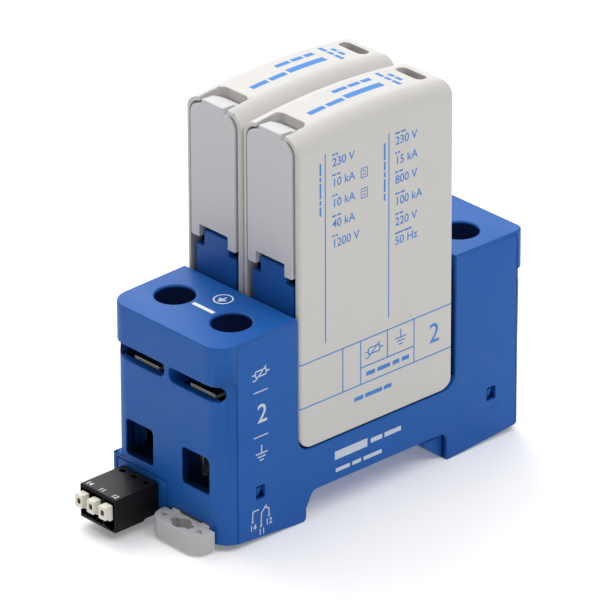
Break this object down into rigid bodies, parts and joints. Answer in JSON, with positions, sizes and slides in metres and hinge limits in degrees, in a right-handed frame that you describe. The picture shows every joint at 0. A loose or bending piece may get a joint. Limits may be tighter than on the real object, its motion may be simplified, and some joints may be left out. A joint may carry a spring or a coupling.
{
  "type": "din rail surge arrester",
  "caption": "Rail-mounted surge arrester: blue base with screw terminals, rail clip and signal plug, and upright off-white plug-in modules.",
  "frame": {"origin": "middle of the face that lies on the rail", "axes": "+X along the rail, +Z away from the rail, -Y towards the end with the rail clip"},
  "size_m": [0.036, 0.1041, 0.0922],
  "materials": {
    "blue": "fine moulded grain",
    "steel": "zinc plated",
    "copper": "tin-plated copper",
    "clip_grey": "fine moulded grain",
    "black": "fine moulded grain",
    "cream": "smooth",
    "white": "fine moulded grain",
    "panel_grey": "fine moulded grain",
    "ceramic": "epoxy coated",
    "red": "smooth"
  },
  "bodies": {
    "base": {"base_frame": "blue", "cover_left": "blue", "cover_right": "blue", "bar_front_left": "copper", "bar_front_right": "copper", "bar_rear_left": "copper", "bar_rear_right": "copper", "receptacle_front_left": "copper", "receptacle_front_right": "copper", "receptacle_rear_left": "copper", "receptacle_rear_right": "copper", "clip_spring": "steel", "signal_switch": "black", "signal_socket": "blue", "signal_pins": "steel"},
    "module_left": {"shell_left": "white", "panel_left": "panel_grey", "core_left": "panel_grey", "varistor_left": "ceramic", "blade_front_left": "steel", "blade_rear_left": "steel", "flag_spring_left": "steel"},
    "flag_left": {"flag_left": "red"},
    "screw_front_left": {"screw_front_left": "steel"},
    "cage_front_left": {"cage_front_left": "steel"},
    "screw_rear_left": {"screw_rear_left": "steel"},
    "cage_rear_left": {"cage_rear_left": "steel"},
    "module_right": {"shell_right": "white", "panel_right": "panel_grey", "core_right": "panel_grey", "varistor_right": "ceramic", "blade_front_right": "steel", "blade_rear_right": "steel", "flag_spring_right": "steel"},
    "flag_right": {"flag_right": "red"},
    "screw_front_right": {"screw_front_right": "steel"},
    "cage_front_right": {"cage_front_right": "steel"},
    "screw_rear_right": {"screw_rear_right": "steel"},
    "cage_rear_right": {"cage_rear_right": "steel"},
    "rail_clip": {"rail_clip": "clip_grey"},
    "signal_plug": {"signal_plug": "black"},
    "lever_1": {"lever_1": "cream"},
    "lever_2": {"lever_2": "cream"},
    "lever_3": {"lever_3": "cream"}
  },
  "joints": [
    {"name": "module_left_pull", "type": "slide", "parent": "base", "child": "module_left", "axis": [0, 0, 1], "range_m": [0, 0.055]},
    {"name": "flag_left_trip", "type": "slide", "parent": "module_left", "child": "flag_left", "axis": [0, 1, 0], "range_m": [0, 0.0042], "deforming": ["flag_spring_left"]},
    {"name": "cage_front_left_lift", "type": "slide", "parent": "base", "child": "cage_front_left", "axis": [0, 0, 1], "range_m": [0, 0.007]},
    {"name": "screw_front_left_turn", "type": "hinge", "parent": "base", "child": "screw_front_left", "pos_m": [-0.009, -0.0335, 0.03], "axis": [0, 0, -1], "range_deg": [0, 2521]},
    {"name": "cage_rear_left_lift", "type": "slide", "parent": "base", "child": "cage_rear_left", "axis": [0, 0, 1], "range_m": [0, 0.007]},
    {"name": "screw_rear_left_turn", "type": "hinge", "parent": "base", "child": "screw_rear_left", "pos_m": [-0.009, 0.0335, 0.03], "axis": [0, 0, -1], "range_deg": [0, 2521]},
    {"name": "module_right_pull", "type": "slide", "parent": "base", "child": "module_right", "axis": [0, 0, 1], "range_m": [0, 0.055]},
    {"name": "flag_right_trip", "type": "slide", "parent": "module_right", "child": "flag_right", "axis": [0, 1, 0], "range_m": [0, 0.0042], "deforming": ["flag_spring_right"]},
    {"name": "cage_front_right_lift", "type": "slide", "parent": "base", "child": "cage_front_right", "axis": [0, 0, 1], "range_m": [0, 0.007]},
    {"name": "screw_front_right_turn", "type": "hinge", "parent": "base", "child": "screw_front_right", "pos_m": [0.009, -0.0335, 0.03], "axis": [0, 0, -1], "range_deg": [0, 2521]},
    {"name": "cage_rear_right_lift", "type": "slide", "parent": "base", "child": "cage_rear_right", "axis": [0, 0, 1], "range_m": [0, 0.007]},
    {"name": "screw_rear_right_turn", "type": "hinge", "parent": "base", "child": "screw_rear_right", "pos_m": [0.009, 0.0335, 0.03], "axis": [0, 0, -1], "range_deg": [0, 2521]},
    {"name": "rail_clip_pull", "type": "slide", "parent": "base", "child": "rail_clip", "axis": [0, -1, 0], "range_m": [0, 0.0045], "stiffness_N_per_m": 600, "springref_m": -0.003, "deforming": ["clip_spring"]},
    {"name": "signal_plug_pull", "type": "slide", "parent": "base", "child": "signal_plug", "axis": [0, -1, 0], "range_m": [0, 0.012]},
    {"name": "lever_1_press", "type": "slide", "parent": "signal_plug", "child": "lever_1", "axis": [0, 1, 0], "range_m": [0, 0.0012], "stiffness_N_per_m": 150, "springref_m": -0.0008},
    {"name": "lever_2_press", "type": "slide", "parent": "signal_plug", "child": "lever_2", "axis": [0, 1, 0], "range_m": [0, 0.0012], "stiffness_N_per_m": 150, "springref_m": -0.0008},
    {"name": "lever_3_press", "type": "slide", "parent": "signal_plug", "child": "lever_3", "axis": [0, 1, 0], "range_m": [0, 0.0012], "stiffness_N_per_m": 150, "springref_m": -0.0008}
  ],
  "couplings": [
    {"joint": "screw_front_left_turn", "follows": "cage_front_left_lift", "rad_per_m": 6283.2},
    {"joint": "screw_rear_left_turn", "follows": "cage_rear_left_lift", "rad_per_m": 6283.2},
    {"joint": "screw_front_right_turn", "follows": "cage_front_right_lift", "rad_per_m": 6283.2},
    {"joint": "screw_rear_right_turn", "follows": "cage_rear_right_lift", "rad_per_m": 6283.2}
  ]
}
